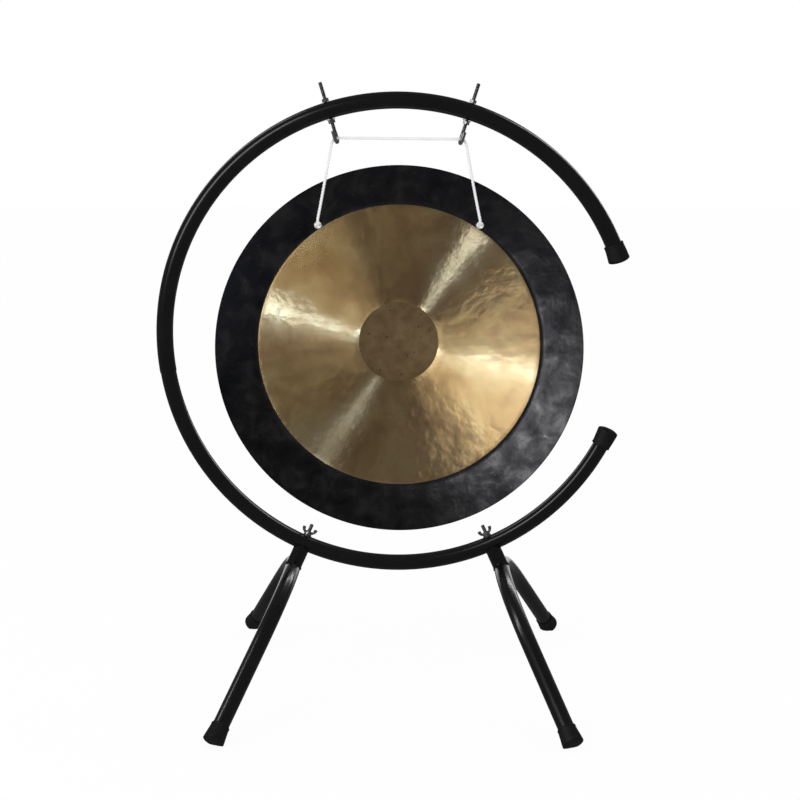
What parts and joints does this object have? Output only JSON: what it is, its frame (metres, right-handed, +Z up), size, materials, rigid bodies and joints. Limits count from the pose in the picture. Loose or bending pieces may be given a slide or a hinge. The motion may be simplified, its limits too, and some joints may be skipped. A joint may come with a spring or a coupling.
{
  "type": "gong stand",
  "caption": "Open tubular steel ring on arched legs, with hook bolts and wing nuts, holding a shallow bronze gong on a white cord",
  "frame": {"origin": "middle of the bounding box of the whole object, on the floor", "axes": "+Z up, -Y to the front, where the domed face of the gong points, +X to the side on which the ring is open"},
  "size_m": [0.7142, 0.5994, 0.9261],
  "materials": {
    "black_gloss": "smooth gloss black enamel or powder coat",
    "black_rubber": "moulded satin black rubber",
    "plated_steel": "dull bright zinc plating",
    "gong_bronze": "lathe turned zone between a dark hammered rim band and a dark centre",
    "white_cord": "twisted white synthetic cord"
  },
  "bodies": {
    "frame": {"ring_lower": "black_gloss", "ring_cap_lower": "black_rubber"},
    "upper_ring": {"ring_upper": "black_gloss", "ring_cap_upper": "black_rubber", "hook_bolt_left": "plated_steel", "hook_top_nut_left": "plated_steel", "hook_washer_left": "plated_steel", "hook_bottom_nut_left": "plated_steel", "hook_bolt_right": "plated_steel", "hook_top_nut_right": "plated_steel", "hook_washer_right": "plated_steel", "hook_bottom_nut_right": "plated_steel"},
    "gong": {"gong_disc": "gong_bronze", "hanging_cord": "white_cord", "knot_left": "white_cord", "knot_right": "white_cord"},
    "leg_left": {"leg_arch_left": "black_gloss", "leg_stub_left": "black_gloss", "stub_plug_left": "black_gloss", "leg_stud_left": "plated_steel", "foot_front_left": "black_rubber", "foot_rear_left": "black_rubber"},
    "washer_left": {"leg_washer_left": "plated_steel"},
    "wing_nut_left": {"wing_nut_left": "plated_steel"},
    "leg_right": {"leg_arch_right": "black_gloss", "leg_stub_right": "black_gloss", "stub_plug_right": "black_gloss", "leg_stud_right": "plated_steel", "foot_front_right": "black_rubber", "foot_rear_right": "black_rubber"},
    "washer_right": {"leg_washer_right": "plated_steel"},
    "wing_nut_right": {"wing_nut_right": "plated_steel"}
  },
  "joints": [
    {"name": "ring_slip", "type": "hinge", "parent": "frame", "child": "upper_ring", "pos_m": [0.00829, 0, 0.54639], "axis": [0, 1, 0], "range_deg": [0, 8]},
    {"name": "gong_swing", "type": "hinge", "parent": "upper_ring", "child": "gong", "pos_m": [0.01099, -0.00551, 0.84309], "axis": [1, 0, -0.0088], "range_deg": [-20, 20]},
    {"name": "leg_pull_left", "type": "slide", "parent": "frame", "child": "leg_left", "axis": [-0.4083, 0, -0.9128], "range_m": [0, 0.045]},
    {"name": "washer_slide_left", "type": "slide", "parent": "frame", "child": "washer_left", "axis": [0.4083, 0, 0.9128], "range_m": [0, 0.01]},
    {"name": "wing_nut_turn_left", "type": "hinge", "parent": "washer_left", "child": "wing_nut_left", "pos_m": [-0.13095, 0, 0.23512], "axis": [0.4083, 0, 0.9128], "range_deg": [0, 3600]},
    {"name": "leg_pull_right", "type": "slide", "parent": "frame", "child": "leg_right", "axis": [0.4083, 0, -0.9128], "range_m": [0, 0.045]},
    {"name": "washer_slide_right", "type": "slide", "parent": "frame", "child": "washer_right", "axis": [-0.4083, 0, 0.9128], "range_m": [0, 0.01]},
    {"name": "wing_nut_turn_right", "type": "hinge", "parent": "washer_right", "child": "wing_nut_right", "pos_m": [0.14753, 0, 0.23512], "axis": [-0.4083, 0, 0.9128], "range_deg": [0, 3600]}
  ],
  "couplings": [
    {"joint": "wing_nut_turn_left", "follows": "washer_slide_left", "rad_per_m": 6283.2},
    {"joint": "wing_nut_turn_right", "follows": "washer_slide_right", "rad_per_m": 6283.2}
  ]
}
